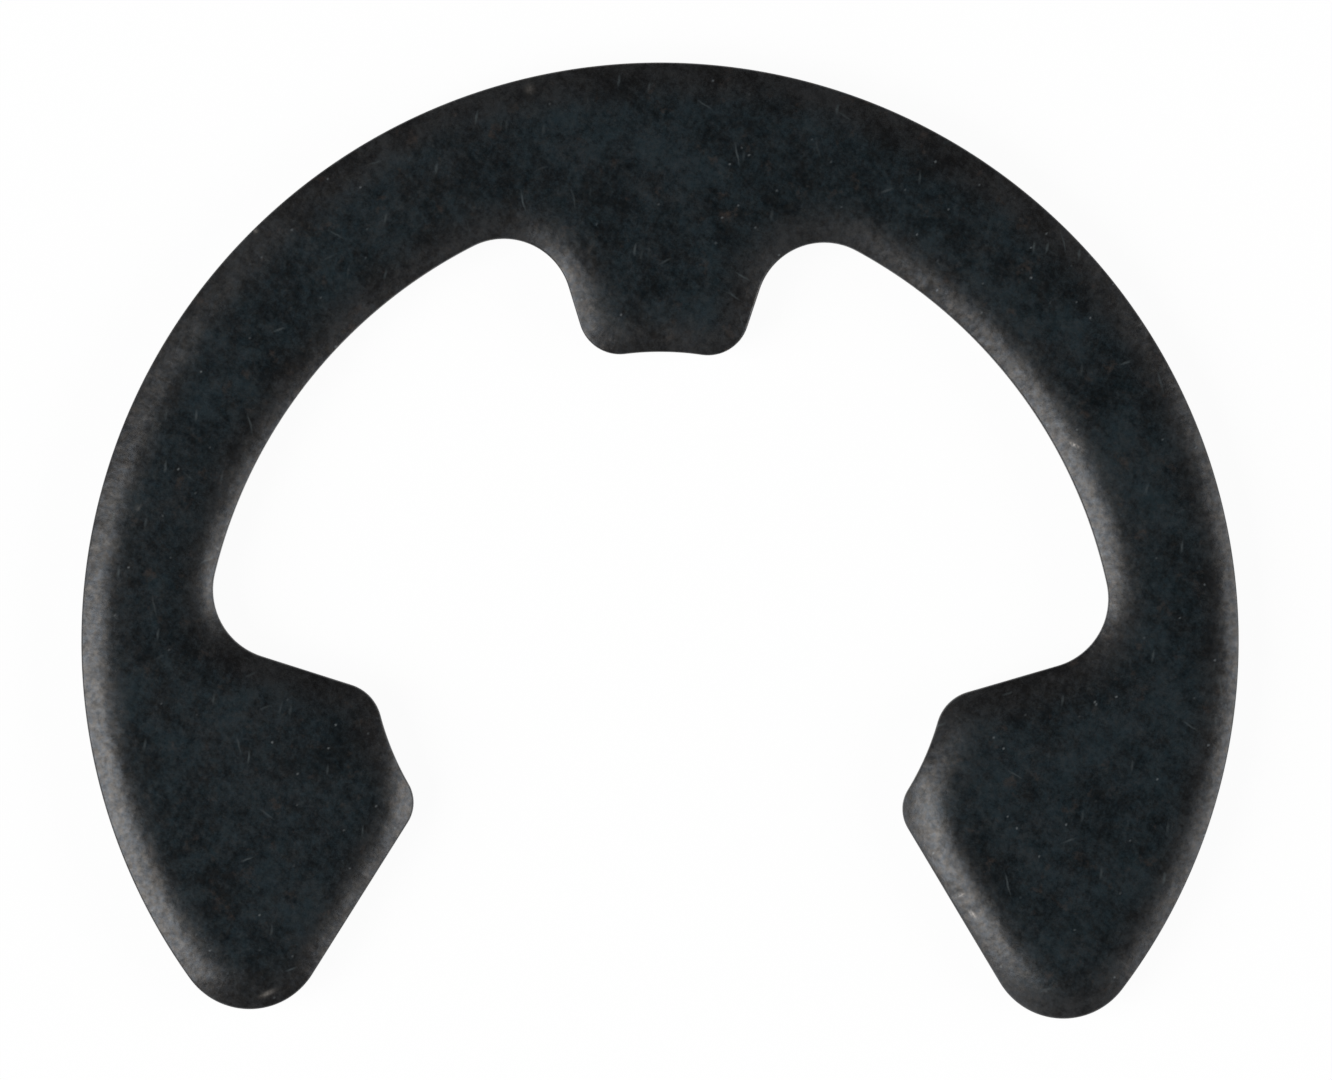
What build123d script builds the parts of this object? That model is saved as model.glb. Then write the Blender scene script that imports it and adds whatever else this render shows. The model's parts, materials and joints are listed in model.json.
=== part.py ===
from build123d import *

import os
from math import atan2, cos, degrees, radians, sin, sqrt, tan

# An E-type retaining clip, in millimetres and degrees.
#
# The clip is one piece of hardened spring steel strip, blanked in a single stroke. Pushed sideways over a
# shaft, it snaps into a turned groove and bears on the bottom of it at three places: the tip of the centre
# tooth, and the hollow end of the lug on either side of the mouth. The two pockets between them leave a
# slender ring, which is what springs.
#
# The origin is on the shaft's axis, in the plane of the underside. +Z runs along the shaft, out of the face
# whose edge is rolled over, +Y points at the centre tooth, and the mouth opens towards -Y.

# The ring, and the groove that it grips
outer_diameter = 37.6
groove_diameter = 18.8  # the circle that the tooth and both lugs lie on, unsprung
thickness = 1.75

# The mouth
lug_reach = 1.45  # how far each lug stands in from the side of the groove circle, to hold the shaft
mouth_flare = 31.5  # each side's lean from the Y axis, which guides the shaft in

# The centre tooth
tooth_width = 4.7  # between its flanks at the groove circle, before the corners are rounded
tooth_draft = 17.7  # each flank's lean from the Y axis, which makes the root wider than the tip

# The lugs
heel_bearing = 10.9  # from the X axis down to the lug's upper corner, on the groove circle
heel_slope = 17.0  # the rise of the lug's upper edge towards the ring

# The pockets
pocket_depth = 4.75  # from the groove circle out to the middle of the pocket's outer side
pocket_bearing = 50.7  # from the X axis up to that middle
pocket_shift = 2.05  # how far behind the origin the arc of the pocket's outer side has its centre

# The rounded corners of the outline
tooth_corner = 1.35
heel_corner = 1.43
toe_corner = 1.22
leg_tip = 2.39
pocket_root = 2.2
pocket_foot = 2.27

# The blanked edge, from the upper face down
roll_width = 1.1  # how far in from the outline the upper face starts to roll over
roll_depth = 0.5
roll_shoulder = 0.25  # the radius in which the roll turns down into the upright part
land_height = 0.55  # the upright part, which the die burnished
fracture_lean = 6.0  # the torn part below it leans in by this much
burr_break = 0.12  # the bevel that tumbling leaves where the burr was

outer_radius = outer_diameter / 2
groove_radius = groove_diameter / 2
far = outer_diameter  # carries a cutting shape clear of the ring


def mouth_shape():
    """The flared gap between the legs, from the X axis down. Its sides are tangent to both rounded toes."""
    toe_x = groove_radius - lug_reach + toe_corner
    toe_y = -sqrt((groove_radius + toe_corner) ** 2 - toe_x**2)
    lean = radians(mouth_flare)
    tangent_x = toe_x - toe_corner * cos(lean)
    tangent_y = toe_y - toe_corner * sin(lean)
    top_x = tangent_x + tangent_y * tan(lean)
    foot_x = top_x + far * tan(lean)
    return Polygon((top_x, 0), (-top_x, 0), (-foot_x, -far), (foot_x, -far), align=None)


def pocket_shape():
    """The pocket on the +X side: the part of a disc that lies between the tooth and the lug."""
    tooth_x = tooth_width / 2
    tooth_tip = Vector(tooth_x, sqrt(groove_radius**2 - tooth_x**2))
    tooth_flank = Vector(0, 1).rotate(Axis.Z, -tooth_draft)
    heel_tip = Vector(groove_radius, 0).rotate(Axis.Z, -heel_bearing)
    heel_edge = Vector(1, 0).rotate(Axis.Z, heel_slope)
    overlap = groove_radius / 4
    sector = Polygon(
        tooth_tip - tooth_flank * overlap,
        heel_tip - heel_edge * overlap,
        heel_tip + heel_edge * far,
        tooth_tip + (tooth_flank + heel_edge) * far,
        tooth_tip + tooth_flank * far,
        align=None,
    )
    centre = Vector(-pocket_shift, 0).rotate(Axis.Z, pocket_bearing)
    return sector & Pos(centre) * Circle(groove_radius + pocket_depth + pocket_shift)


def outline_shape():
    """The clip's flat outline, whose corners are rounded in left and right pairs, the lowest pair first."""
    start_in_mouth = Rot(0, 0, -90)
    pocket = pocket_shape()
    outline = (
        start_in_mouth * Circle(outer_radius)
        - start_in_mouth * Circle(groove_radius)
        - mouth_shape()
        - pocket
        - mirror(pocket, about=Plane.YZ)
    )
    radii = (leg_tip, toe_corner, heel_corner, pocket_foot, tooth_corner, pocket_root)
    for radius, pair in zip(radii, outline.vertices().group_by(Axis.Y), strict=True):
        outline = fillet([outline.vertices().sort_by_distance(corner)[0] for corner in pair], radius)
    return outline.face()


def edge_section():
    """The blanked edge in section, from the upper face to the underside, with X running into the metal.

    The roll is an oval quarter of two tangent arcs: a wide one that leaves the upper face, and the shoulder.
    It has to end inside the tightest outward corner.
    """
    width = min(roll_width, 0.9 * min(leg_tip, toe_corner, heel_corner, tooth_corner))
    run, drop = width - roll_shoulder, roll_depth - roll_shoulder
    fall_radius = (run**2 + roll_depth**2 - roll_shoulder**2) / (2 * drop)
    fall_centre = Vector(width, thickness - fall_radius)
    shoulder_centre = Vector(roll_shoulder, thickness - roll_depth)
    meeting = shoulder_centre - fall_centre
    meeting_angle = degrees(atan2(meeting.Y, meeting.X))
    rolled = CenterArc(fall_centre, fall_radius, 90, meeting_angle - 90)
    shoulder = CenterArc(shoulder_centre, roll_shoulder, meeting_angle, 180 - meeting_angle)
    land_foot = Vector(0, thickness - roll_depth - land_height)
    bevel_top = Vector((land_foot.Y - burr_break) * tan(radians(fracture_lean)), burr_break)
    lower = Polyline(shoulder @ 1, land_foot, bevel_top, bevel_top + Vector(burr_break, -burr_break))
    return rolled + shoulder + lower


def edge_surface(run, section):
    """The surface that the section makes when it is carried along one line or arc of the outline."""
    start, along = run @ 0, run % 0
    inward = Vector(0, 0, 1).cross(along)
    profile = Wire((Plane(origin=start, x_dir=inward, z_dir=along) * section).edges())
    if run.geom_type == GeomType.LINE:
        return Shell.extrude(profile, run @ 1 - start)
    centre = run.arc_center
    bulges_out = (centre - start).dot(inward) > 0
    axis = Axis(centre, (0, 0, 1) if bulges_out else (0, 0, -1))
    return Shell.revolve(profile, degrees(run.length / run.radius), axis)


def clip_solid():
    """The clip: the blanked edge all the way round, closed by the two flat faces."""
    section = edge_section()
    rim = ShapeList(edge_surface(run, section) for run in outline_shape().outer_wire().edges())
    levels = rim.edges().group_by(Axis.Z)
    flats = [Face(Wire(levels[0])), Face(Wire(levels[-1]))]
    return Solid(Shell(rim.faces() + flats))


os.makedirs("parts", exist_ok=True)
export_step(clip_solid(), "parts/circlip.step")
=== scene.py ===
"""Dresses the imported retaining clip: one blanked, tumbled and black phosphated piece of spring steel.

The CAD node's facets are replaced by one fine surface with the same outline. Everything is in metres, in the
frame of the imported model: the origin is on the shaft's axis, +Z out of the rolled face, +Y at the tooth.
"""

import json
from math import atan2, ceil, cos, pi, radians, sin, sqrt, tan

import bpy
import numpy as np
from bpy.props import FloatProperty, FloatVectorProperty, PointerProperty
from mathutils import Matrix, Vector
from mathutils.geometry import delaunay_2d_cdt


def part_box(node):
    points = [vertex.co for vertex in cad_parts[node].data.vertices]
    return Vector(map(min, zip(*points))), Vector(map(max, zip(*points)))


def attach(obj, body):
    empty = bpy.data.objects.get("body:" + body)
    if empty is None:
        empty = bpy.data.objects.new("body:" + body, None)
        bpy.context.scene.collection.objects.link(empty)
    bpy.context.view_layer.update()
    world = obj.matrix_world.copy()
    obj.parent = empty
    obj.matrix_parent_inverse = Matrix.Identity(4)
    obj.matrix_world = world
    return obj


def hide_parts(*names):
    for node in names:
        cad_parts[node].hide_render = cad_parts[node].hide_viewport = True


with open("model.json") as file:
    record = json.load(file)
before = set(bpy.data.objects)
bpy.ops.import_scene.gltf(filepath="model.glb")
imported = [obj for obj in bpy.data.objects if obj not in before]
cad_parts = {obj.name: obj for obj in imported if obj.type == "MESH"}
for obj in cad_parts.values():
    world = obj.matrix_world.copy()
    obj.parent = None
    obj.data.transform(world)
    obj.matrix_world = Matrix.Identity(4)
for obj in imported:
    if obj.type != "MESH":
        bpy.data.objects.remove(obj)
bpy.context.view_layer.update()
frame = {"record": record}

bl_info = {
    "name": "Retaining clip",
    "version": (1, 0, 0),
    "blender": (4, 5, 0),
    "location": "3D View > Sidebar > Clip",
    "description": "Makes a blanked spring steel E-clip and a plain studio to show it in",
    "category": "Add Mesh",
}

NODE = "circlip"
_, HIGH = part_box(NODE)
GRIP = next(mount for mount in frame["record"]["mounts"] if mount["name"] == "groove_grip")
GRIP_RADIUS = GRIP["dims"]["r_mm"]
MM = 0.001


# Sizes and colours that a user would change


def length(name, description, millimetres):
    """A length, in metres, whose default is given in millimetres."""
    return FloatProperty(
        name=name,
        description=description,
        default=millimetres * MM,
        min=0,
        precision=5,
        unit="LENGTH",
    )


def angle(name, description, degrees):
    """An angle, in radians, whose default is given in degrees."""
    return FloatProperty(
        name=name,
        description=description,
        default=radians(degrees),
        subtype="ANGLE",
        unit="ROTATION",
    )


def linear(code):
    """An sRGB colour, written as six hex digits, as linear red, green and blue."""
    levels = [int(code[digit : digit + 2], 16) / 255 for digit in (0, 2, 4)]
    return tuple(level / 12.92 if level <= 0.04045 else ((level + 0.055) / 1.055) ** 2.4 for level in levels)


def colour(name, description, code):
    """A linear colour, whose default is given as an sRGB hex code."""
    return FloatVectorProperty(
        name=name,
        description=description,
        default=linear(code),
        min=0,
        max=1,
        subtype="COLOR",
    )


def share(name, description, default):
    """A number from 0 to 1."""
    return FloatProperty(
        name=name,
        description=description,
        default=default,
        min=0,
        max=1,
        subtype="FACTOR",
    )


class ClipSizes(bpy.types.PropertyGroup):
    """The outline and the blanked edge."""

    outer_diameter: length("Outer diameter", "Across the ring", 2 * HIGH.x / MM)
    groove_diameter: length("Groove diameter", "Circle that the tooth and lugs bear on", 2 * GRIP_RADIUS)
    thickness: length("Thickness", "Thickness of the strip", HIGH.z / MM)
    lug_reach: length("Lug reach", "How far each lug stands in from the groove circle's side", 1.45)
    mouth_flare: angle("Mouth flare", "Lean of each side of the mouth from the Y axis", 31.5)
    tooth_width: length("Tooth width", "Between the flanks at the groove circle", 4.7)
    tooth_draft: angle("Tooth draft", "Lean of each flank from the Y axis", 17.7)
    heel_bearing: angle("Heel bearing", "From the X axis down to the lug's upper corner", 10.9)
    heel_slope: angle("Heel slope", "Rise of the lug's upper edge towards the ring", 17.0)
    pocket_depth: length("Pocket depth", "From the groove circle to the pocket's outer side", 4.75)
    pocket_bearing: angle("Pocket bearing", "From the X axis up to the middle of the pocket", 50.7)
    pocket_shift: length("Pocket shift", "How far the pocket's outer arc is centred behind the origin", 2.05)
    tooth_corner: length("Tooth corner", "Radius of the tooth's corners", 1.35)
    heel_corner: length("Heel corner", "Radius of each lug's upper corner", 1.43)
    toe_corner: length("Toe corner", "Radius of each lug's toe, its corner in the mouth", 1.22)
    leg_tip: length("Leg tip", "Radius of each leg's end", 2.39)
    pocket_root: length("Pocket root", "Radius of the pocket beside the tooth", 2.2)
    pocket_foot: length("Pocket foot", "Radius of the pocket beside the lug", 2.27)
    roll_depth: length("Roll depth", "How far the face sinks at a straight edge, above the shoulder", 0.37)
    roll_reach: length("Roll reach", "How far in from the edge the face is drawn down", 0.72)
    toe_droop: share("Toe droop", "How much deeper the roll gets round each lug's toe", 0.5)
    toe_bias: share("Toe bias", "How much of that the +X toe gets more and the other gets less", 0.4)
    tip_share: share("Tip share", "What the foot of the +X mouth side gets of its toe's extra roll", 0.8)
    tooth_ease: share("Tooth ease", "How much shallower the roll gets round the tooth's corners", 0.35)
    foot_bias: share("Foot bias", "The roll's loss at the +X pocket's foot, and its gain at the other", 0.24)
    seat_ease: share("Seat ease", "How much shallower the roll gets along each lug's hollow end", 0.4)
    shoulder: length("Shoulder", "Radius in which the roll turns down into the wall", 0.06)
    land_height: length("Land height", "Height of the burnished part of the wall", 0.55)
    fracture_lean: angle("Fracture lean", "Lean of the torn part of the wall", 6.0)
    burr_break: length("Burr break", "Radius that tumbling left round the underside", 0.12)


class ClipFinish(bpy.types.PropertyGroup):
    """The phosphated and oiled skin."""

    dark: colour("Dark", "The coating where it is thickest", "010609")
    light: colour("Light", "The coating's paler clouds", "152126")
    dark_rubbed: colour("Dark, rubbed", "The darkest of the coating where it is rubbed", "1A1716")
    light_rubbed: colour("Light, rubbed", "The palest of the coating where it is rubbed", "322D2B")
    cool_film: colour("Cool film", "Tint of the reflection where the oil is thin", "EAF1FA")
    warm_film: colour("Warm film", "Tint of the reflection where the oil is thick", "FCF5EE")
    scratch: colour("Scratch", "A hairline scratch", "383E40")
    rust: colour("Rust", "Flecks of rust", "322B27")
    speck: colour("Speck", "A bare pinhole", "54585A")
    # The knocks' colour is partly the pale steel that a knock lays bare and partly a painted glint: a cream
    # base colour that stands in for the lamp's reflection in the dents
    bare: colour("Bare", "Steel laid bare by a knock", "B9B2AA")
    rim_wear: share("Rim wear", "How far the coating goes brown along the edge", 0.5)
    drift: share("Drift", "How far the coating goes brown elsewhere", 0.5)
    roughness: share("Roughness", "Roughness of the oiled skin", 0.34)
    gloss: share("Gloss", "Strength of the skin's reflection", 0.62)
    grain_height: length("Grain height", "Height of the crystals' grain", 0.007)


# The outline


def rounding_centre(foot, along, aside, centre, reach):
    """The centre of a rounding that touches a straight side and a circle.

    It lies on the side's line moved to the left by `aside`, at the distance `reach` from the circle's
    centre. Of the two such points it is the one further along the side.
    """
    left = np.array([-along[1], along[0]])
    start = foot + aside * left - centre
    middle = start @ along
    return centre + start + (sqrt(middle**2 - start @ start + reach**2) - middle) * along


def arc(centre, radius, start, end, bulges_out):
    """An arc as (centre, radius, first angle, turn). start and end point from the centre at its two ends.

    It turns to the left, with a positive turn, where the metal bulges out, and to the right in a hollow.
    """
    first, last = atan2(start[1], start[0]), atan2(end[1], end[0])
    turn = (last - first) % (2 * pi) if bulges_out else -((first - last) % (2 * pi))
    return centre, radius, first, turn


def outline_arcs(size):
    """The arcs of the whole outline in order, with the metal on the left. Straight runs join them.

    The +X half goes from the middle of the tooth's tip round the pocket, the lug and the leg to the back of
    the ring. The other half is its mirror image in reverse.
    """
    origin = np.zeros(2)
    ring, groove = size.outer_diameter / 2, size.groove_diameter / 2

    flank = np.array([sin(size.tooth_draft), cos(size.tooth_draft)])
    flank_foot = np.array([size.tooth_width / 2, sqrt(groove**2 - (size.tooth_width / 2) ** 2)])
    heel = np.array([cos(size.heel_slope), sin(size.heel_slope)])
    heel_foot = groove * np.array([cos(size.heel_bearing), -sin(size.heel_bearing)])
    mouth = np.array([sin(size.mouth_flare), -cos(size.mouth_flare)])
    pocket = -size.pocket_shift * np.array([cos(size.pocket_bearing), sin(size.pocket_bearing)])
    pocket_radius = groove + size.pocket_depth + size.pocket_shift

    tooth_centre = rounding_centre(flank_foot, flank, size.tooth_corner, origin, groove + size.tooth_corner)
    root_centre = rounding_centre(
        flank_foot, flank, -size.pocket_root, pocket, pocket_radius - size.pocket_root
    )
    foot_centre = rounding_centre(
        heel_foot, heel, size.pocket_foot, pocket, pocket_radius - size.pocket_foot
    )
    heel_centre = rounding_centre(heel_foot, heel, -size.heel_corner, origin, groove + size.heel_corner)
    toe_x = groove - size.lug_reach + size.toe_corner
    toe = np.array([toe_x, -sqrt((groove + size.toe_corner) ** 2 - toe_x**2)])
    into_mouth = np.array([mouth[1], -mouth[0]])
    mouth_foot = toe + size.toe_corner * into_mouth
    tip_centre = rounding_centre(mouth_foot, mouth, size.leg_tip, origin, ring - size.leg_tip)

    off_flank = np.array([flank[1], -flank[0]])
    off_heel = np.array([-heel[1], heel[0]])
    back = np.array([0.0, 1.0])
    half = [
        arc(origin, groove, back, tooth_centre, False),
        arc(tooth_centre, size.tooth_corner, -tooth_centre, off_flank, True),
        arc(root_centre, size.pocket_root, -off_flank, root_centre - pocket, False),
        arc(pocket, pocket_radius, root_centre - pocket, foot_centre - pocket, False),
        arc(foot_centre, size.pocket_foot, foot_centre - pocket, -off_heel, False),
        arc(heel_centre, size.heel_corner, off_heel, -heel_centre, True),
        arc(origin, groove, heel_centre, toe, False),
        arc(toe, size.toe_corner, -toe, into_mouth, True),
        arc(tip_centre, size.leg_tip, into_mouth, tip_centre, True),
        arc(origin, ring, tip_centre, back, True),
    ]
    flip = np.array([-1.0, 1.0])
    mirrored = [
        (centre * flip, radius, pi - first - turn, turn) for centre, radius, first, turn in half[::-1]
    ]
    return half + mirrored


def arc_point(bow, fraction):
    """The point at a fraction of the way along an arc."""
    centre, radius, first, turn = bow
    return centre + radius * np.array([cos(first + fraction * turn), sin(first + fraction * turn)])


def traced(arcs, step):
    """Points along the arcs and the straight runs between them, and the outward normal at each.

    A point of an arc is the centre plus the radius times the ray at its angle, and the normal is that ray,
    turned round in a hollow. Each stretch leaves out its last point, which is the next one's first.
    """
    starts = [arc_point(bow, 0) for bow in arcs]
    points, normals = [], []
    for (centre, radius, first, turn), following in zip(arcs, starts[1:] + starts[:1]):
        count = max(ceil(abs(turn) * radius / step), FEWEST_STEPS)
        turned = first + turn * np.linspace(0, 1, count + 1)
        ray = np.stack([np.cos(turned), np.sin(turned)], axis=1)
        curve = centre + radius * ray
        points.append(curve[:-1])
        normals.append(np.sign(turn) * ray[:-1])
        gap = np.linalg.norm(following - curve[-1])
        if gap > SAME_POINT:
            count = ceil(gap / step)
            points.append(curve[-1] + np.arange(count)[:, None] / count * (following - curve[-1]))
            normals.append(np.repeat(np.sign(turn) * ray[-1:], count, axis=0))
    return np.concatenate(points), np.concatenate(normals)


# The surface

# How fine the mesh is
STEP = 0.12 * MM  # between the columns of the edge
FEWEST_STEPS = 14  # in the shortest rounding
SAME_POINT = 0.001 * MM  # arcs whose ends are closer than this have no straight run between them
FACE_STEP = 0.26 * MM  # between the points inside the upper face
BACK_STEP = 0.9 * MM  # between the points inside the underside
RIM_WIDTH = 1.08 * MM  # of the band of the upper face whose rows follow the outline
RIM_ROWS, SHOULDER_ROWS, LAND_ROWS, TORN_ROWS, BURR_ROWS = 12, 12, 4, 7, 5
UNDER_ROWS = (0.35 * MM, 0.75 * MM)  # how far in from the broken burr the underside's two rows lie
CHUNK = 1500  # places worked out at a time
NOT_ZERO = 1e-18  # square metres, so that a place on the outline doesn't divide by zero
TOLERANCE = 1e-7  # millimetres, within which two points of a face are one

# The roll: the higher its power, the steeper it is, and the more it favours corners over hollows
ROLL_POWER = 1.25
TOE_POWER = 1.93  # at the toes, leaving out their bias
TOE_SPREAD = 0.9  # how much of its extra depth the toes' roll gets in width too
TOOTH_SPREAD = 0.5  # how much of what the tooth's roll loses in depth it gets in width

# The arcs that it changes round, as their places in the outline's list, and how far each change reaches
TOOTH_CORNER, POCKET_FOOT, SEAT, TOE, LEG_TIP = 1, 4, 6, 7, 8
TOOTH_REACH = 2.3 * MM
FOOT_REACH = 2.0 * MM
SEAT_REACH = 1.0 * MM
TOE_REACH = 3.1 * MM
TIP_REACH = 2.0 * MM

# The wall's unevenness: how far it strays at most, and the number of waves round the clip it stays below
FOOT_STRAY, FOOT_WAVES = 0.06 * MM, 90
TORN_STRAY, TORN_WAVES = 0.012 * MM, 420
SEED = 7

# Knocks that the clip took in the tumbler: x and y in millimetres, which way they run in radians, how long,
# wide and deep their dents are in millimetres, and how bare they left the steel in the middle, which also
# sets how strongly a painted glint shows there
KNOCKS = (
    (-13.29, 13.16, 0.8, 0.12, 0.08, 0.02, 0.6),
    (13.37, 6.53, -0.45, 0.28, 0.09, 0.02, 1.0),
    (9.85, -8.12, 0.3, 0.18, 0.09, 0.02, 0.9),
    (10.28, -8.76, -0.7, 0.26, 0.1, 0.02, 1.0),
    (-4.45, 17.88, 0.0, 0.25, 0.25, 0.01, 0.12),
    (-2.4, 12.8, 1.4, 0.3, 0.12, 0.01, 0.3),
    (-17.0, 4.2, 1.2, 0.25, 0.12, 0.01, 0.35),
    (-11.2, -11.9, 2.2, 0.3, 0.15, 0.02, 0.2),
    (-12.62, -11.59, 0.45, 0.4, 0.12, 0.01, 0.3),
)
# The bare spots are also painted glints: pale spots that stand in for the lamp's reflection in the dents
BARE_POWER = 6  # of the knocks' falling away, which narrows the bare spots inside their dents


def near(places, spot, reach):
    """1 at a spot and at its mirror image across the Y axis, falling away from both as a Gaussian."""
    leg = np.stack([np.abs(places[:, 0]), places[:, 1]], axis=1) - spot
    return np.exp(-(leg**2).sum(axis=1) / (2 * reach**2))


def near_metal(places, outline, normals, reach):
    """The share of metal round each place, weighed by a Gaussian of its reach, and the distance to the edge.

    By the divergence theorem the share is a sum along the outline: each point's length of outline, times the
    step to it from the place along its outward normal, times (1 - exp(-r^2 / 2 reach^2)) / (2 pi r^2). It is
    1 far inside, 1/2 on a straight edge, less on a corner that bulges out and more in a hollow.
    """
    lengths = np.linalg.norm(np.roll(outline, -1, axis=0) - np.roll(outline, 1, axis=0), axis=1) / 2
    shares, distances = [], []
    for start in range(0, len(places), CHUNK):
        spread = 2 * reach[start : start + CHUNK, None] ** 2
        leg = outline - places[start : start + CHUNK, None]
        squared = (leg**2).sum(axis=2) + NOT_ZERO
        outward = (leg * normals).sum(axis=2)
        weight = -np.expm1(-squared / spread) / (2 * pi * squared)
        shares.append((weight * outward * lengths).sum(axis=1))
        nearest = squared.argmin(axis=1)
        inside = np.take_along_axis(outward, nearest[:, None], axis=1)[:, 0] > 0
        distances.append(np.where(inside, 1, -1) * np.sqrt(squared.min(axis=1)))
    return np.concatenate(shares), np.concatenate(distances)


def knocked(places):
    """How much of each knock a place feels: 1 at its middle, falling away as a Gaussian."""
    felt = np.zeros((len(KNOCKS), len(places)))
    for row, (x, y, turn, long, wide, _, _) in zip(felt, KNOCKS):
        leg = (places / MM - (x, y)) @ np.array([[cos(turn), -sin(turn)], [sin(turn), cos(turn)]])
        row[:] = np.exp(-((leg / (long, wide)) ** 2).sum(axis=1) / 2)
    return felt


def upper_face(size, places, outline, normals, inset=None):
    """The height of the upper face at each place and its distance from the edge, unless that is given.

    It is the strip's thickness less the wide roll, the shoulder and the dents. The roll is its depth times a
    power of twice the share of ground near by that isn't metal. The shoulder is a quarter circle. The roll's
    depth, reach and power change round the lugs, the tooth and the pockets' feet, each as a Gaussian.
    """
    arcs = outline_arcs(size)
    side = np.sign(places[:, 0])
    toe = near(places, arc_point(arcs[TOE], 0.5), TOE_REACH) * (1 + size.toe_bias * side)
    tip = near(places, arc_point(arcs[LEG_TIP], 0), TIP_REACH) * (1 + size.toe_bias) * size.tip_share
    lug = toe + np.where(side > 0, tip, 0)
    tooth = near(places, arc_point(arcs[TOOTH_CORNER], 0.5), TOOTH_REACH)
    foot = near(places, arc_point(arcs[POCKET_FOOT], 0.5), FOOT_REACH)
    seat = near(places, arc_point(arcs[SEAT], 0.5), SEAT_REACH)
    wider = 1 + TOE_SPREAD * size.toe_droop * lug + TOOTH_SPREAD * size.tooth_ease * tooth
    metal, distance = near_metal(places, outline, normals, size.roll_reach * wider)
    inset = distance if inset is None else inset
    deeper = 1 + size.toe_droop * lug - size.tooth_ease * tooth - size.foot_bias * side * foot
    deeper = deeper - size.seat_ease * seat
    power = ROLL_POWER + (TOE_POWER - ROLL_POWER) * lug
    roll = size.roll_depth * deeper * (2 * np.clip(1 - metal, 0, 1)) ** power
    step_in = size.shoulder - np.clip(inset, 0, size.shoulder)
    turn_down = size.shoulder - np.sqrt(size.shoulder**2 - step_in**2)
    dents = knocked(places).T @ (np.array([depth for *_, depth, _ in KNOCKS]) * MM)
    return size.thickness - roll - turn_down - dents, inset


def smooth_noise(rng, count, rows, keep):
    """Noise from -1 to 1 that runs smoothly round a closed loop, with fewer than `keep` waves in it."""
    waves = np.fft.rfft(rng.standard_normal((rows, count)), axis=1)
    waves[:, keep:] = 0
    noise = np.fft.irfft(waves, count, axis=1)
    return noise / np.abs(noise).max()


def lattice(spacing, low, high):
    """A triangular lattice of points over a box.

    The rows are `spacing` times half the root of 3 apart, and every other one is shifted by half a space.
    """
    row = spacing * sqrt(3) / 2
    y = np.arange(low[1], high[1], row)
    x = np.arange(low[0], high[0], spacing)
    across, up = np.meshgrid(x, y)
    across = across + (np.arange(len(y)) % 2)[:, None] * spacing / 2
    return np.stack([across.ravel(), up.ravel()], axis=1)


def filled(loop, inner):
    """Triangles over a closed loop and the loose points inside it, as indices with the loop's first."""
    count = len(loop)
    edges = np.stack([np.arange(count), np.roll(np.arange(count), -1)], axis=1)
    places = [Vector(place) for place in np.concatenate([loop, inner]) / MM]
    inside_only = 1
    _, _, faces, origins, _, _ = delaunay_2d_cdt(places, edges.tolist(), [], inside_only, TOLERANCE)
    first = np.array([origin[0] for origin in origins])
    return first[np.array(faces)]


def wall_rows(size, top, rng):
    """The rows below the wall's top: how far in each point is, how high it is, and which part it is on.

    The burnished land, part 1, is upright, and its foot wanders. The torn part, 2, leans in by its drop
    below the foot times the tangent of the lean, plus noise. The broken burr is a quarter circle, and the
    underside is level. Both are part 0.
    """
    foot = top - size.land_height + FOOT_STRAY * smooth_noise(rng, len(top), 1, FOOT_WAVES)
    down = np.linspace(0, 1, LAND_ROWS + 1)[1:, None]
    land_z = top + (foot - top) * down
    down = np.linspace(0, 1, TORN_ROWS + 1)[1:, None]
    torn_z = foot + (size.burr_break - foot) * down
    torn_in = (foot - torn_z) * tan(size.fracture_lean)
    torn_in = torn_in + TORN_STRAY * smooth_noise(rng, len(top), TORN_ROWS, TORN_WAVES) * np.sin(pi * down)
    turn = np.linspace(0, pi / 2, BURR_ROWS + 1)[1:, None]
    burr_in = torn_in[-1] + size.burr_break * (1 - np.cos(turn))
    burr_z = size.burr_break * (1 - np.sin(turn)) + 0 * burr_in
    under_in = burr_in[-1] + np.array(UNDER_ROWS)[:, None]
    insets = np.concatenate([0 * land_z, torn_in, burr_in, under_in])
    heights = np.concatenate([land_z, torn_z, burr_z, 0 * under_in])
    parts = np.concatenate([0 * land_z + 1, 0 * torn_z + 2, 0 * burr_z, 0 * under_in])
    return insets, heights, parts


def loose_points(size, outline, normals, spacing, rim_width):
    """A lattice of points inside a face's rim, and the upper face's height and the inset at each.

    The points kept lie further in than the rim's width and half a space.
    """
    places = lattice(spacing, outline.min(axis=0), outline.max(axis=0))
    heights, insets = upper_face(size, places, outline, normals)
    kept = insets > rim_width + spacing / 2
    return places[kept], heights[kept], insets[kept]


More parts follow.
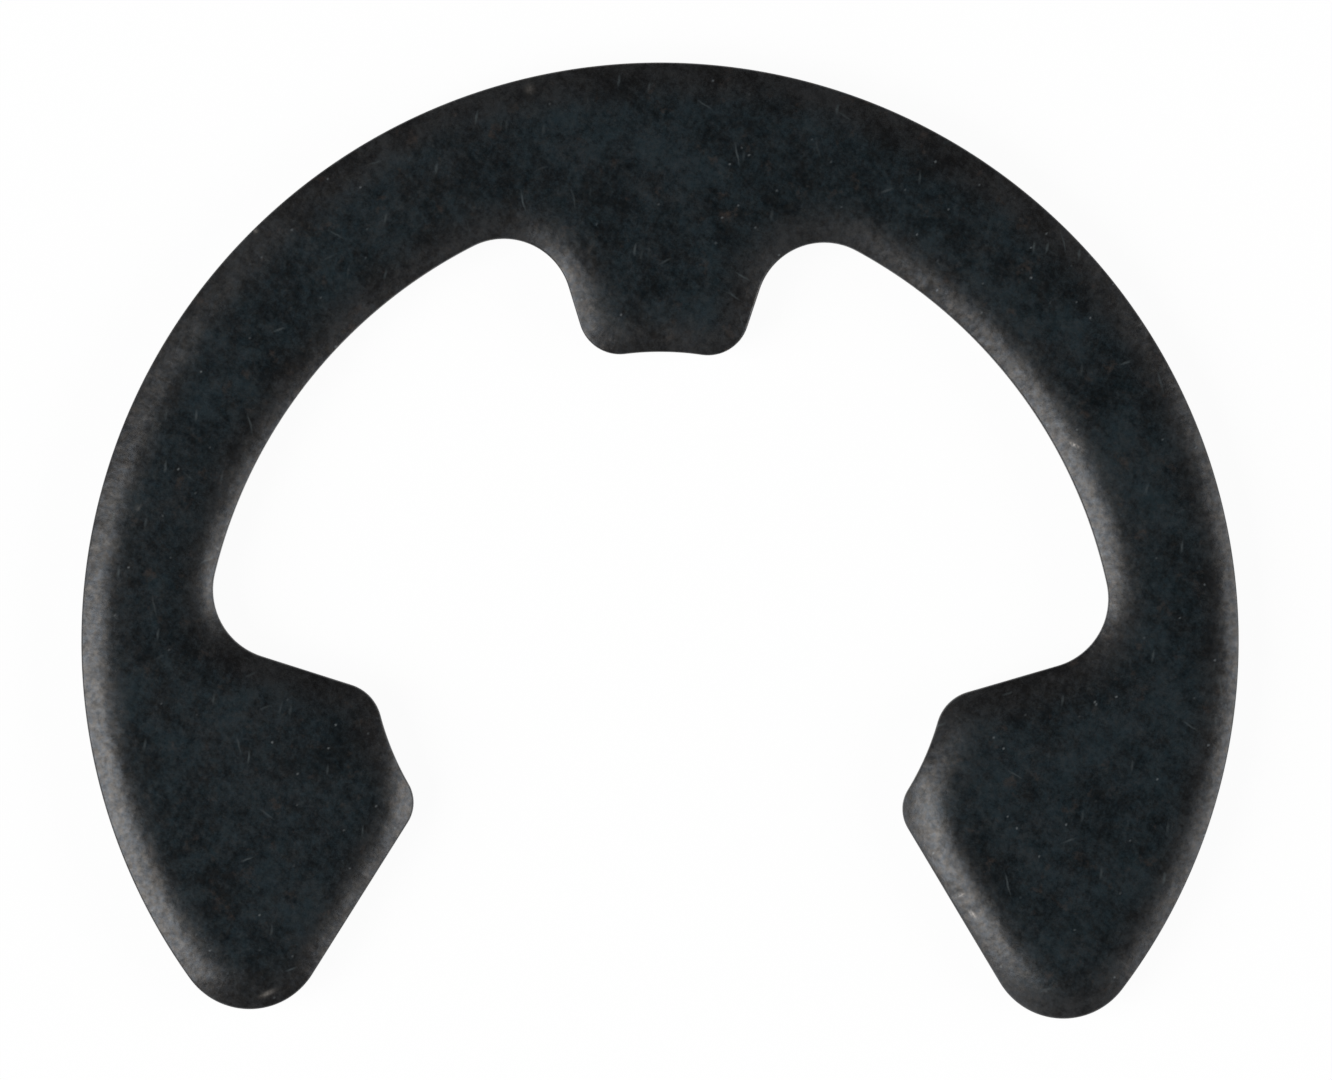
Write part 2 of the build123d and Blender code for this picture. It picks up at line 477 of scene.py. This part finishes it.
def clip_surface(size):
    """The closed surface of the clip: its points, faces and the values that the material follows.

    Rows of points follow the outline over the upper face's rim, down the wall and on to the underside. Loose
    points fill both faces inside them.
    """
    rng = np.random.default_rng(SEED)
    outline, normals = traced(outline_arcs(size), STEP)
    columns = len(outline)

    # The upper rows run out to the top of the wall, evenly spaced, and then evenly by angle on the shoulder
    spread = np.linspace(0, 1, RIM_ROWS, endpoint=False)
    turn = np.linspace(0, pi / 2, SHOULDER_ROWS)
    band_in = RIM_WIDTH + (size.shoulder - RIM_WIDTH) * spread
    insets = np.concatenate([band_in, size.shoulder * (1 - np.sin(turn))])
    upper = outline - insets[:, None, None] * normals
    upper_z, _ = upper_face(size, upper.reshape(-1, 2), outline, normals, np.repeat(insets, columns))
    upper_z = upper_z.reshape(-1, columns)
    wall_in, wall_z, wall_part = wall_rows(size, upper_z[-1], rng)

    rim_in = np.concatenate([np.repeat(insets[:, None], columns, axis=1), wall_in])
    rim_z = np.concatenate([upper_z, wall_z])
    rim_part = np.concatenate([0 * upper_z, wall_part])
    rim = outline - rim_in[:, :, None] * normals
    face, face_z, face_in = loose_points(size, outline, normals, FACE_STEP, RIM_WIDTH)
    back, _, back_in = loose_points(size, outline, normals, BACK_STEP, wall_in[-1].max())

    # Quads between the rows, then triangles over both faces, whose loose points come after all the rows
    rows = len(rim)
    loose = rows * columns
    grid = np.arange(loose).reshape(rows, columns)
    after = np.roll(grid, -1, axis=1)
    quads = np.stack([grid[:-1], grid[1:], after[1:], after[:-1]], axis=2).reshape(-1, 4)
    top = filled(rim[0], face)
    top = top + np.where(top < columns, 0, loose - columns)
    under = filled(rim[-1], back)
    under = under + np.where(under < columns, 0, len(face)) + loose - columns

    places = np.concatenate([rim.reshape(-1, 2), face, back])
    heights = np.concatenate([rim_z.ravel(), face_z, 0 * back_in])
    inset = np.concatenate([rim_in.ravel(), face_in, back_in])
    part = np.concatenate([rim_part.ravel(), 0 * face_in, 0 * back_in])

    # The way along the edge, as a place on a circle as long as the outline, and then the way across it
    run = np.cumsum(np.linalg.norm(outline - np.roll(outline, 1, axis=0), axis=1))
    lap_radius = run[-1] / (2 * pi)
    lap = np.zeros((len(places), 3))
    lap[:loose, 0] = np.tile(lap_radius * np.cos(run / lap_radius), rows)
    lap[:loose, 1] = np.tile(lap_radius * np.sin(run / lap_radius), rows)
    lap[:, 2] = heights - inset

    # The root makes each knock as bare, and its painted glint as strong, as it should be once the material
    # has raised it to the power
    bare = knocked(places).T * np.array([bare ** (1 / BARE_POWER) for *_, bare in KNOCKS])
    bare = np.where(heights < size.thickness / 2, 0, bare.max(axis=1))
    values = {"edge_inset": inset, "edge_lap": lap, "edge_zone": part, "bare": bare}
    points = np.column_stack([places, heights])
    return points, quads.tolist() + top.tolist() + under[:, ::-1].tolist(), values


def add_piece(name, points, faces, values):
    """A smooth mesh object at the origin, with a number or a vector per point for each name in `values`."""
    mesh = bpy.data.meshes.new(name)
    mesh.from_pydata(points, [], faces)
    for key, numbers in values.items():
        kind, field = ("FLOAT", "value") if numbers.ndim == 1 else ("FLOAT_VECTOR", "vector")
        mesh.attributes.new(key, kind, "POINT").data.foreach_set(field, numbers.astype(np.float32).ravel())
    mesh.shade_smooth()
    piece = bpy.data.objects.new(name, mesh)
    bpy.context.scene.collection.objects.link(piece)
    return piece


# The material

# The scratches in each direction: their turn in radians, thickness in millimetres, how many times as long
# they are, the width in millimetres of the cells they lie in, and the chance that a cell has one
SCRATCHES = (
    (1.45, 0.07, 4.0, 0.45, 0.14),
    (1.8, 0.05, 10.0, 0.5, 0.12),
    (0.4, 0.06, 5.0, 0.5, 0.08),
    (2.6, 0.05, 8.0, 0.5, 0.08),
)
PINHOLES = (0.7, 0.055, 1.3, 0.5, 0.1)  # the same for them


def add(tree, kind, sockets=None, **settings):
    """Adds a node. `sockets` gives each input its value, or the output that it is linked to.

    A node in the place of an output stands for its first output in use.
    """
    made = tree.nodes.new(kind)
    for key, value in settings.items():
        setattr(made, key, value)
    for key, value in (sockets or {}).items():
        if isinstance(value, bpy.types.Node):
            value = next(output for output in value.outputs if output.enabled)
        if isinstance(value, bpy.types.NodeSocket):
            tree.links.new(value, made.inputs[key])
        else:
            made.inputs[key].default_value = value
    return made


def per_metre(millimetres):
    """The scale that gives a texture's features about that size."""
    return 1 / (millimetres * MM)


def marks(tree, place, turn, thickness, stretch, apart, chance):
    """Sparse marks, each `stretch` times as long as it is thick, that lie along one direction.

    The surface is turned and squeezed along that direction, and cut into cells that are `apart` millimetres
    wide. Each cell has that `chance` of a mark at its point, and the marks' strengths differ.
    """
    squeezed = add(
        tree,
        "ShaderNodeMapping",
        {"Vector": place, "Rotation": (0, 0, turn), "Scale": (stretch, 1, 1)},
        vector_type="TEXTURE",
    )
    cell = add(
        tree,
        "ShaderNodeTexVoronoi",
        {"Vector": squeezed, "Scale": per_metre(apart)},
        voronoi_dimensions="2D",
    )
    body = add(
        tree,
        "ShaderNodeMapRange",
        {"Value": cell, "From Max": thickness / apart, "To Min": 1.0, "To Max": 0.0},
        interpolation_type="SMOOTHSTEP",
    )
    luck = add(tree, "ShaderNodeSeparateColor", {"Color": cell.outputs["Color"]})
    strength = add(tree, "ShaderNodeMapRange", {"Value": luck, "From Min": 1 - chance})
    return add(tree, "ShaderNodeMath", {0: body, 1: strength}, operation="MULTIPLY")


def phosphated_steel(finish):
    """Zinc phosphate on hardened spring steel, grown in a bath, oiled, and tumbled with others of its kind.

    The crystals make a soft, nearly black skin with a faint blue-green cast. It comes out cloudy, because
    the bath wets the steel unevenly, and browner where pieces rub against each other, along the edges. The
    rubbing also leaves it pinholes and hairline scratches, and the punch leaves the roll faint lines across
    the edge.
    """
    material = bpy.data.materials.new("phosphated_spring_steel")
    material.use_nodes = True
    tree = material.node_tree
    tree.nodes.clear()
    place = add(tree, "ShaderNodeTexCoord").outputs["Object"]
    askew = add(tree, "ShaderNodeMapping", {"Vector": place, "Rotation": (0.4, 0.7, 0.5)})
    inset = add(tree, "ShaderNodeAttribute", attribute_name="edge_inset").outputs["Fac"]
    zone = add(tree, "ShaderNodeAttribute", attribute_name="edge_zone").outputs["Fac"]
    lap = add(tree, "ShaderNodeAttribute", attribute_name="edge_lap").outputs["Vector"]
    # Where the knocks are painted pale, partly as bare steel and partly as a painted glint
    knock = add(tree, "ShaderNodeAttribute", attribute_name="bare").outputs["Fac"]

    # The coating's clouds, combed in two directions by the flow of the bath
    clouds = add(
        tree,
        "ShaderNodeTexNoise",
        {"Vector": askew, "Scale": per_metre(2.7), "Detail": 7.0, "Roughness": 0.95},
    )
    for turn in (1.3, 2.3):
        combed = add(
            tree,
            "ShaderNodeMapping",
            {"Vector": place, "Rotation": (0, 0, turn), "Scale": (5, 1, 1)},
            vector_type="TEXTURE",
        )
        fibres = add(
            tree,
            "ShaderNodeTexNoise",
            {"Vector": combed, "Scale": per_metre(0.13), "Detail": 2.0, "Roughness": 0.6},
        )
        clouds = add(tree, "ShaderNodeMath", {0: fibres, 1: 0.12, 2: clouds}, operation="MULTIPLY_ADD")
    tone = add(
        tree,
        "ShaderNodeMapRange",
        {"Value": clouds, "From Min": 0.485, "From Max": 0.76},
        interpolation_type="SMOOTHSTEP",
    )
    body = add(
        tree,
        "ShaderNodeMix",
        {"Factor": tone, "A": (*finish.dark, 1), "B": (*finish.light, 1)},
        data_type="RGBA",
    )

    # It drifts towards brown here and there, and along a ragged strip at the edge
    drift = add(
        tree,
        "ShaderNodeTexNoise",
        {"Vector": askew, "Scale": per_metre(5.0), "Detail": 8.0, "Roughness": 1.0},
    )
    drift = add(
        tree,
        "ShaderNodeMapRange",
        {"Value": drift, "From Min": 0.48, "From Max": 0.72, "To Max": finish.drift},
    )
    tatter = add(
        tree,
        "ShaderNodeTexNoise",
        {"Vector": askew, "Scale": per_metre(1.3), "Detail": 5.0, "Roughness": 0.8},
    )
    ragged = add(tree, "ShaderNodeMath", {0: tatter, 1: 1.6 * MM, 2: inset}, operation="MULTIPLY_ADD")
    rubbed = add(
        tree,
        "ShaderNodeMapRange",
        {
            "Value": ragged,
            "From Min": 1.1 * MM,
            "From Max": 2.5 * MM,
            "To Min": finish.rim_wear,
            "To Max": 0.0,
        },
        interpolation_type="SMOOTHSTEP",
    )
    brown = add(tree, "ShaderNodeMath", {0: drift, 1: rubbed}, operation="MAXIMUM")
    warm = add(
        tree,
        "ShaderNodeMix",
        {"Factor": tone, "A": (*finish.dark_rubbed, 1), "B": (*finish.light_rubbed, 1)},
        data_type="RGBA",
    )
    body = add(tree, "ShaderNodeMix", {"Factor": brown, "A": body, "B": warm}, data_type="RGBA")

    # Rust, scratches and pinholes, none of them quite straight or round
    wander = add(
        tree,
        "ShaderNodeTexNoise",
        {"Vector": place, "Scale": per_metre(0.5), "Detail": 3.0},
    ).outputs["Color"]
    wandering = add(
        tree,
        "ShaderNodeVectorMath",
        {0: wander, 1: (0.14 * MM,) * 3, 2: place},
        operation="MULTIPLY_ADD",
    )
    flecks = add(
        tree,
        "ShaderNodeTexNoise",
        {"Vector": place, "Scale": per_metre(0.8), "Detail": 4.0, "Roughness": 0.7},
    )
    flecks = add(tree, "ShaderNodeMapRange", {"Value": flecks, "From Min": 0.6, "From Max": 0.8})
    layers = [
        (flecks, finish.rust),
        *((marks(tree, wandering, *scratch), finish.scratch) for scratch in SCRATCHES),
        (marks(tree, wandering, *PINHOLES), finish.speck),
    ]
    on_face = add(
        tree,
        "ShaderNodeMapRange",
        {"Value": zone, "From Max": 0.5, "To Min": 1.0, "To Max": 0.0},
    )
    for where, paint in layers:
        where = add(tree, "ShaderNodeMath", {0: where, 1: on_face}, operation="MULTIPLY")
        body = add(tree, "ShaderNodeMix", {"Factor": where, "A": body, "B": (*paint, 1)}, data_type="RGBA")

    # The knocks, painted a pale cream that is partly the bare steel's own colour and partly a painted glint,
    # and speckled with what is left of the coating
    grit = add(
        tree,
        "ShaderNodeTexNoise",
        {"Vector": place, "Scale": per_metre(0.07), "Detail": 2.0},
    )
    grit = add(
        tree,
        "ShaderNodeMapRange",
        {"Value": grit, "From Min": 0.2, "From Max": 0.6, "To Min": 0.5},
    )
    bare = add(tree, "ShaderNodeMath", {0: knock, 1: BARE_POWER}, operation="POWER")
    bare = add(tree, "ShaderNodeMath", {0: bare, 1: grit}, operation="MULTIPLY")
    body = add(tree, "ShaderNodeMix", {"Factor": bare, "A": body, "B": (*finish.bare, 1)}, data_type="RGBA")

    # The grain of the crystals, which is under a tenth of a millimetre and is drawn coarser so that it shows
    grain = add(
        tree,
        "ShaderNodeTexNoise",
        {"Vector": askew, "Scale": per_metre(0.25), "Detail": 1.0, "Roughness": 0.5},
    )
    lumps = add(
        tree,
        "ShaderNodeTexNoise",
        {"Vector": askew, "Scale": per_metre(0.7), "Detail": 1.0, "Roughness": 0.5},
    )

    # The punch's lines across the edge, and the crags of the torn part
    across = add(tree, "ShaderNodeVectorMath", {0: lap, 1: (1, 1, 0.15)}, operation="MULTIPLY")
    lines = add(
        tree,
        "ShaderNodeTexNoise",
        {"Vector": across, "Scale": per_metre(0.18), "Detail": 1.0, "Roughness": 0.5},
    )
    lined = add(
        tree,
        "ShaderNodeMapRange",
        {"Value": inset, "From Min": 0.5 * MM, "From Max": 1.3 * MM, "To Min": 0.5, "To Max": 0.0},
    )
    lines = add(tree, "ShaderNodeMath", {0: lines, 1: lined}, operation="MULTIPLY")
    torn = add(tree, "ShaderNodeMapRange", {"Value": zone, "From Min": 1.0, "From Max": 1.6})
    crags = add(
        tree,
        "ShaderNodeTexNoise",
        {"Vector": place, "Scale": per_metre(0.22), "Detail": 4.0, "Roughness": 0.7},
    )
    crags = add(tree, "ShaderNodeMath", {0: crags, 1: torn}, operation="MULTIPLY")
    height = add(tree, "ShaderNodeMath", {0: lumps, 1: 3.0, 2: grain}, operation="MULTIPLY_ADD")
    height = add(tree, "ShaderNodeMath", {0: crags, 1: 6.0, 2: height}, operation="MULTIPLY_ADD")
    height = add(tree, "ShaderNodeMath", {0: height, 1: lines}, operation="ADD")
    bumpy = add(
        tree,
        "ShaderNodeBump",
        {"Height": height, "Strength": 1.0, "Distance": finish.grain_height},
    )

    # The oil lies unevenly, in a film whose tint changes with its depth
    film = add(
        tree,
        "ShaderNodeTexNoise",
        {"Vector": place, "Scale": per_metre(0.22), "Detail": 2.0, "Roughness": 0.7},
    ).outputs["Color"]
    film = add(tree, "ShaderNodeSeparateColor", {"Color": film})
    depth = add(
        tree,
        "ShaderNodeMapRange",
        {"Value": film.outputs["Red"], "From Min": 0.36, "From Max": 0.64},
    )
    sheen = add(
        tree,
        "ShaderNodeMix",
        {"Factor": depth, "A": (*finish.cool_film, 1), "B": (*finish.warm_film, 1)},
        data_type="RGBA",
    )
    shine = add(
        tree,
        "ShaderNodeMapRange",
        {"Value": film.outputs["Green"], "From Min": 0.32, "From Max": 0.68, "To Min": 0.5},
    )
    sheen = add(tree, "ShaderNodeVectorMath", {0: sheen, 1: shine}, operation="MULTIPLY")
    rough = add(tree, "ShaderNodeMath", {0: tone, 1: 0.06, 2: finish.roughness}, operation="MULTIPLY_ADD")
    rough = add(tree, "ShaderNodeMath", {0: torn, 1: 0.3, 2: rough}, operation="MULTIPLY_ADD")
    skin = add(
        tree,
        "ShaderNodeBsdfPrincipled",
        {
            "Base Color": body,
            "Roughness": rough,
            "IOR": 1.5,
            "Specular IOR Level": finish.gloss,
            "Specular Tint": sheen,
            "Normal": bumpy,
        },
    )
    add(tree, "ShaderNodeOutputMaterial", {"Surface": skin})
    return material


class CLIP_OT_make_clip(bpy.types.Operator):
    """Make the clip's fine surface and its finish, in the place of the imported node"""

    bl_idname = "clip.make_clip"
    bl_label = "Make clip"

    def execute(self, context):
        points, faces, values = clip_surface(context.scene.clip_sizes)
        piece = add_piece("blanked_clip", points, faces, values)
        piece.data.materials.append(phosphated_steel(context.scene.clip_finish))
        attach(piece, "root")
        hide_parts(NODE)
        return {"FINISHED"}


# The stage

# The lamps: name, bearing counter-clockwise from +X and angle off the Z axis in degrees, distance, width and
# height in metres, and power in watts
LAMPS = (
    ("key", 197, 54, 1.2, 0.86, 1.06, 19),
    ("fill", -6, 68, 1.2, 1.0, 0.8, 12.5),
)
FLOOR_SIDE = 6.0  # metres
FLOOR_LEVEL = -0.02 * MM  # just clear of the clip
FLOOR_GLOW = 0.95  # the share of the floor's look that is its own white light
VIEW_LEVEL = HIGH.z - 0.5 * MM  # about where the wall starts
VIEW_WIDTH = 43.274 * MM  # what the camera sees across at that level
VIEW_RIGHT, VIEW_UP = 0.194 * MM, 3.287 * MM  # from the origin to the middle of the picture, along its sides
VIEW_TURN = radians(0.68)
LENS, SENSOR = 500.0, 36.0  # millimetres


def add_lamp(name, bearing, from_above, distance, width, height, power):
    """A soft rectangular lamp that points at the origin."""
    light = bpy.data.lights.new(name, "AREA")
    light.shape, light.size, light.size_y, light.energy = "RECTANGLE", width, height, power
    lamp = bpy.data.objects.new(name, light)
    round_z, off_z = radians(bearing), radians(from_above)
    out = Vector((sin(off_z) * cos(round_z), sin(off_z) * sin(round_z), cos(off_z)))
    lamp.location = out * distance
    lamp.rotation_euler = out.to_track_quat("Z", "Y").to_euler()
    bpy.context.scene.collection.objects.link(lamp)


def add_floor():
    """A white floor just under the clip.

    The camera and reflections see it mostly by its own light, so that it is evenly white and keeps only a
    faint shadow. Everything else sees a matt white board.
    """
    mesh = bpy.data.meshes.new("floor")
    half = FLOOR_SIDE / 2
    corners = [(x * half, y * half, FLOOR_LEVEL) for x, y in ((-1, -1), (1, -1), (1, 1), (-1, 1))]
    mesh.from_pydata(corners, [], [(0, 1, 2, 3)])
    floor = bpy.data.objects.new("floor", mesh)
    bpy.context.scene.collection.objects.link(floor)
    material = bpy.data.materials.new("matt_white_board")
    material.use_nodes = True
    tree = material.node_tree
    tree.nodes.clear()
    rays = add(tree, "ShaderNodeLightPath").outputs
    seen = add(
        tree,
        "ShaderNodeMath",
        {0: rays["Is Camera Ray"], 1: rays["Is Glossy Ray"]},
        operation="MAXIMUM",
    )
    seen = add(tree, "ShaderNodeMath", {0: seen, 1: rays["Is Transmission Ray"]}, operation="MAXIMUM")
    lift = add(tree, "ShaderNodeMath", {0: seen, 1: FLOOR_GLOW}, operation="MULTIPLY")
    board = add(tree, "ShaderNodeBsdfDiffuse", {"Color": (0.95, 0.95, 0.95, 1)})
    glow = add(tree, "ShaderNodeEmission", {"Color": (1, 1, 1, 1), "Strength": 1.0})
    both = add(tree, "ShaderNodeMixShader", {0: lift, 1: board, 2: glow})
    add(tree, "ShaderNodeOutputMaterial", {"Surface": both})
    mesh.materials.append(material)


def add_world():
    """White at the horizon and below, and dim overhead, as in a studio with its ceiling lights off."""
    world = bpy.data.worlds.new("studio")
    world.use_nodes = True
    tree = world.node_tree
    tree.nodes.clear()
    way = add(tree, "ShaderNodeTexCoord").outputs["Generated"]
    up = add(tree, "ShaderNodeSeparateXYZ", {0: way}).outputs["Z"]
    strength = add(
        tree,
        "ShaderNodeMapRange",
        {"Value": up, "From Min": 0.04, "From Max": 0.3, "To Min": 0.7, "To Max": 0.03},
        interpolation_type="SMOOTHSTEP",
    )
    sky = add(tree, "ShaderNodeBackground", {"Color": (1, 1, 1, 1), "Strength": strength})
    add(tree, "ShaderNodeOutputWorld", {"Surface": sky})
    bpy.context.scene.world = world


def add_camera():
    """A long lens straight above the clip, turned a little, with the clip low in the picture."""
    data = bpy.data.cameras.new("camera")
    data.lens, data.sensor_width = LENS, SENSOR
    camera = bpy.data.objects.new("camera", data)
    camera.location = (
        VIEW_RIGHT * cos(VIEW_TURN) - VIEW_UP * sin(VIEW_TURN),
        VIEW_RIGHT * sin(VIEW_TURN) + VIEW_UP * cos(VIEW_TURN),
        VIEW_LEVEL + VIEW_WIDTH * LENS / SENSOR,
    )
    camera.rotation_euler = (0, 0, VIEW_TURN)
    bpy.context.scene.collection.objects.link(camera)
    bpy.context.scene.camera = camera


class CLIP_OT_set_stage(bpy.types.Operator):
    """Lay the floor, and set the lamps and the camera"""

    bl_idname = "clip.set_stage"
    bl_label = "Set stage"

    def execute(self, context):
        add_floor()
        add_world()
        for lamp in LAMPS:
            add_lamp(*lamp)
        add_camera()
        context.scene.view_settings.view_transform = "Standard"
        return {"FINISHED"}


class CLIP_PT_panel(bpy.types.Panel):
    """The sizes, the finish and the steps, in the order in which they are run"""

    bl_label = "Retaining clip"
    bl_space_type = "VIEW_3D"
    bl_region_type = "UI"
    bl_category = "Clip"

    def draw(self, context):
        for group in (context.scene.clip_sizes, context.scene.clip_finish):
            box = self.layout.box()
            for key in group.__annotations__:
                box.prop(group, key)
        for step in STEPS:
            self.layout.operator(step.bl_idname)


STEPS = (CLIP_OT_make_clip, CLIP_OT_set_stage)
CLASSES = (ClipSizes, ClipFinish, *STEPS, CLIP_PT_panel)


def register():
    for item in CLASSES:
        bpy.utils.register_class(item)
    bpy.types.Scene.clip_sizes = PointerProperty(type=ClipSizes)
    bpy.types.Scene.clip_finish = PointerProperty(type=ClipFinish)


def unregister():
    del bpy.types.Scene.clip_finish
    del bpy.types.Scene.clip_sizes
    for item in reversed(CLASSES):
        bpy.utils.unregister_class(item)


def main():
    register()
    bpy.ops.clip.make_clip()
    bpy.ops.clip.set_stage()


if __name__ == "__main__":
    main()
